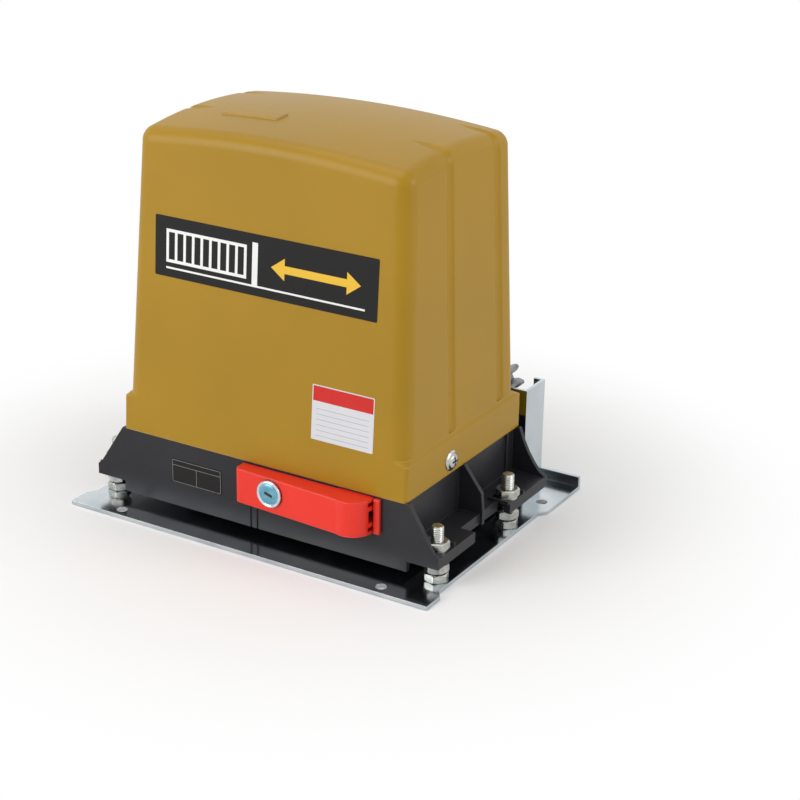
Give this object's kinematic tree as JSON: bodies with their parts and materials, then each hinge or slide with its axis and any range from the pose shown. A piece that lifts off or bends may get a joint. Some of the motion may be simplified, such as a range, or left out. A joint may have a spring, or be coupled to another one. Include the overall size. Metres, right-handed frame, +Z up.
{
  "type": "sliding gate motor",
  "caption": "Sliding gate motor with a gold cover, black base, red release handle, rear drive pinion in a guard, and a zinc mounting plate.",
  "frame": {"origin": "centre of the base plate's underside", "axes": "+Z up, -Y the front with the handle, +Y the gate side with the pinion, +X to the right seen from the front"},
  "size_m": [0.33, 0.249, 0.3197],
  "materials": {
    "zinc_plate": "bright zinc plated sheet",
    "fastener_steel": "zinc plated",
    "black_plastic": "satin black moulding",
    "gold_plastic": "fine grained mustard moulding",
    "red_plastic": "semi-gloss red moulding",
    "black_rubber": "matt",
    "bearing_steel": "ground",
    "cast_alloy": "as cast",
    "motor_paint": "black enamel",
    "dark_ferrite": "dull",
    "battery_plastic": "matt grey",
    "board_green": "solder mask",
    "spacer_brass": "turned",
    "terminal_plastic": "moulded",
    "capacitor_sleeve": "sleeved",
    "gear_steel": "oiled steel",
    "wheel_bronze": "bronze",
    "lock_chrome": "polished"
  },
  "bodies": {
    "chassis": {"base_plate": "zinc_plate", "mounting_studs": "fastener_steel", "seat_nuts": "fastener_steel", "levelling_nuts": "fastener_steel", "foot_washers": "fastener_steel", "clamp_nuts": "fastener_steel", "base_housing": "black_plastic", "cable_grommet": "black_rubber", "cover_shell": "gold_plastic", "cover_screws": "fastener_steel", "pinion_guard": "zinc_plate", "guard_screws": "fastener_steel", "rear_bearing": "bearing_steel", "front_bearing_block": "cast_alloy", "front_bearing": "bearing_steel", "hinge_pin": "bearing_steel", "hinge_strip": "red_plastic", "gear_case": "cast_alloy", "case_cover": "cast_alloy", "case_screws": "fastener_steel", "motor_flange": "cast_alloy", "motor_can": "motor_paint", "motor_magnets": "dark_ferrite", "motor_end_cap": "cast_alloy", "battery_pad": "black_rubber", "battery": "battery_plastic", "battery_strap": "zinc_plate", "board_bracket": "zinc_plate", "control_board": "board_green", "board_spacers": "spacer_brass", "terminal_blocks": "terminal_plastic", "relays": "battery_plastic", "capacitor": "capacitor_sleeve", "processor": "black_plastic", "transformer": "dark_ferrite"},
    "output_line": {"output_shaft": "bearing_steel", "shaft_spacer": "bearing_steel", "drive_pinion": "gear_steel", "pinion_washer": "fastener_steel", "pinion_bolt": "fastener_steel", "worm_wheel": "wheel_bronze", "wheel_bush": "spacer_brass", "clutch_key": "bearing_steel"},
    "clutch": {"dog_clutch": "gear_steel"},
    "rotor": {"worm_shaft": "gear_steel", "rotor_core": "dark_ferrite"},
    "release": {"release_rod": "bearing_steel", "release_fork": "zinc_plate"},
    "handle": {"release_handle": "red_plastic", "lock_barrel": "lock_chrome"},
    "lock": {"lock_plug": "lock_chrome", "lock_tongue": "fastener_steel"}
  },
  "joints": [
    {"name": "pinion_spin", "type": "hinge", "parent": "chassis", "child": "output_line", "pos_m": [0.087, 0, 0.082], "axis": [0, 1, 0], "continuous": true},
    {"name": "worm_spin", "type": "hinge", "parent": "chassis", "child": "rotor", "pos_m": [0.054, 0.035, 0], "axis": [0, 0, 1], "continuous": true},
    {"name": "clutch_slide", "type": "slide", "parent": "output_line", "child": "clutch", "axis": [0, -1, 0], "range_m": [0, 0.006]},
    {"name": "handle_swing", "type": "hinge", "parent": "chassis", "child": "handle", "pos_m": [0.087, -0.1007, 0.0495], "axis": [0, 0, 1], "range_deg": [0, 90]},
    {"name": "release_slide", "type": "slide", "parent": "chassis", "child": "release", "axis": [0, -1, 0], "range_m": [0, 0.006]},
    {"name": "lock_turn", "type": "hinge", "parent": "handle", "child": "lock", "pos_m": [0.02, -0.1, 0.0515], "axis": [0, -1, 0], "range_deg": [0, 90]}
  ],
  "couplings": [
    {"joint": "worm_spin", "follows": "pinion_spin", "ratio": -24},
    {"joint": "release_slide", "follows": "handle_swing", "m_per_rad": 0.0038197},
    {"joint": "clutch_slide", "follows": "handle_swing", "m_per_rad": 0.0038197}
  ]
}
